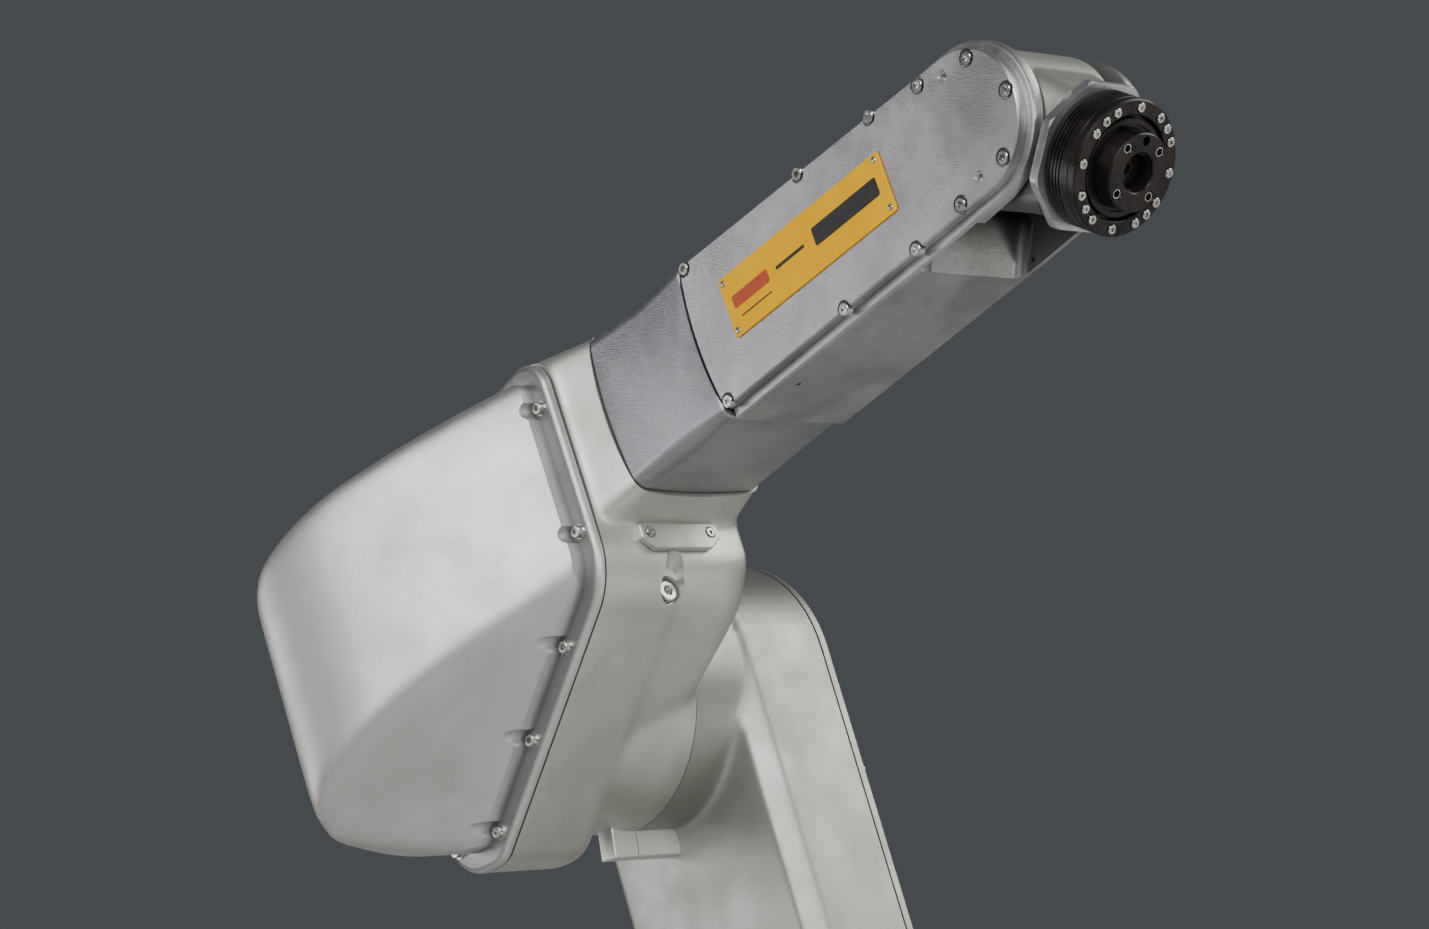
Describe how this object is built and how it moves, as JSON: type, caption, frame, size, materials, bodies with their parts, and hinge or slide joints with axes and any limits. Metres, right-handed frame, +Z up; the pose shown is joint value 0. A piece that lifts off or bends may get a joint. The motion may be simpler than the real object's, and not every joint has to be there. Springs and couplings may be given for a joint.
{
  "type": "six-axis industrial robot arm",
  "caption": "Floor-standing jointed robot arm in bare cast aluminium, with sealed bolted covers, an offset lower arm, a slim forearm and a hollow black wrist gearbox with a tool flange.",
  "frame": {"origin": "centre of the base's mounting face, on the first axis", "axes": "+Z up along the first axis, +X forward over the reach, +Y to the arm's left, where the lower arm sits"},
  "size_m": [0.753, 0.407, 1.393],
  "materials": {
    "cast_aluminium": "bare cast and blasted, satin, with soft grain",
    "machined_aluminium": "skimmed and brushed, bright satin",
    "steel": "zinc-plated or ground steel",
    "black_gearbox": "black oxide over turned steel, fine turning marks",
    "rubber": "matt black seal",
    "yellow_plate": "yellow enamelled plate",
    "motor_black": "matt dark motor body",
    "connector_black": "matt black connector cap",
    "brass": "plain turned brass"
  },
  "bodies": {
    "base": {"base_casting": "cast_aluminium", "connector_plate": "machined_aluminium", "power_connector": "connector_black", "signal_connector": "connector_black", "air_inlet_fitting": "brass", "purge_air_fitting": "brass", "ground_stud": "brass", "j1_motor": "motor_black", "j1_reducer": "steel", "j1_seal": "rubber"},
    "turret": {"turret_casting": "cast_aluminium", "j2_cover_gasket": "rubber", "j2_motor_cover": "cast_aluminium", "j2_motor": "motor_black", "j2_reducer": "steel"},
    "lower_arm": {"lower_arm_casting": "cast_aluminium", "lower_arm_gasket": "rubber", "lower_arm_cover": "cast_aluminium", "lower_arm_conduit": "rubber", "j2_seal": "rubber", "j3_seal": "rubber"},
    "elbow": {"elbow_casting": "cast_aluminium", "elbow_cover_gasket": "rubber", "elbow_motor_cover": "cast_aluminium", "j3_motor": "motor_black", "j3_reducer": "steel", "j4_motor": "motor_black", "j4_reducer": "steel", "elbow_pad": "cast_aluminium", "elbow_plug": "steel"},
    "forearm": {"j4_seal": "rubber", "forearm_rear_casting": "machined_aluminium", "forearm_seam_gasket": "rubber", "forearm_casting": "machined_aluminium", "forearm_cover": "machined_aluminium", "forearm_cover_screw_1": "steel", "forearm_cover_screw_2": "steel", "forearm_cover_screw_3": "steel", "forearm_cover_screw_4": "steel", "forearm_cover_screw_5": "steel", "forearm_cover_screw_6": "steel", "forearm_cover_screw_7": "steel", "forearm_cover_screw_8": "steel", "forearm_cover_screw_9": "steel", "forearm_cover_screw_10": "steel", "forearm_cover_screw_11": "steel", "name_plate": "yellow_plate", "j5_motor": "motor_black", "j6_motor": "motor_black", "j5_belt": "rubber", "wrist_bearing_cap": "machined_aluminium"},
    "motor_pulley": {"j5_motor_pulley": "steel"},
    "wrist": {"wrist_casting": "cast_aluminium", "wrist_flat_ring": "machined_aluminium", "j6_gearbox": "black_gearbox", "wrist_pulley": "steel", "wrist_bearing_near": "steel", "wrist_bearing_far": "steel"},
    "tool_flange": {"tool_flange": "black_gearbox"}
  },
  "joints": [
    {"name": "j1_turn", "type": "hinge", "parent": "base", "child": "turret", "pos_m": [0, 0, 0.17], "axis": [0, 0, 1], "range_deg": [-160, 160]},
    {"name": "j2_shoulder", "type": "hinge", "parent": "turret", "child": "lower_arm", "pos_m": [0.155, 0, 0.46], "axis": [0, 1, 0], "range_deg": [-30, 70]},
    {"name": "j3_elbow", "type": "hinge", "parent": "lower_arm", "child": "elbow", "pos_m": [-0.07298, 0, 0.97204], "axis": [0, 1, 0], "range_deg": [-75, 50]},
    {"name": "j4_forearm_roll", "type": "hinge", "parent": "elbow", "child": "forearm", "pos_m": [0.38285, 0, 1.33899], "axis": [0.8973, 0, 0.4415], "range_deg": [-190, 190]},
    {"name": "j5_wrist_bend", "type": "hinge", "parent": "forearm", "child": "wrist", "pos_m": [0.38285, 0, 1.33899], "axis": [0, 1, 0], "range_deg": [-120, 48]},
    {"name": "j6_flange_turn", "type": "hinge", "parent": "wrist", "child": "tool_flange", "pos_m": [0.38285, 0, 1.33899], "axis": [0.9466, 0, -0.3223], "range_deg": [-360, 360]},
    {"name": "j5_motor_spin", "type": "hinge", "parent": "forearm", "child": "motor_pulley", "pos_m": [0.2348, 0, 1.26614], "axis": [0, 1, 0], "range_deg": [-185, 75]}
  ],
  "couplings": [
    {"joint": "j5_motor_spin", "follows": "j5_wrist_bend", "ratio": 1.5}
  ]
}
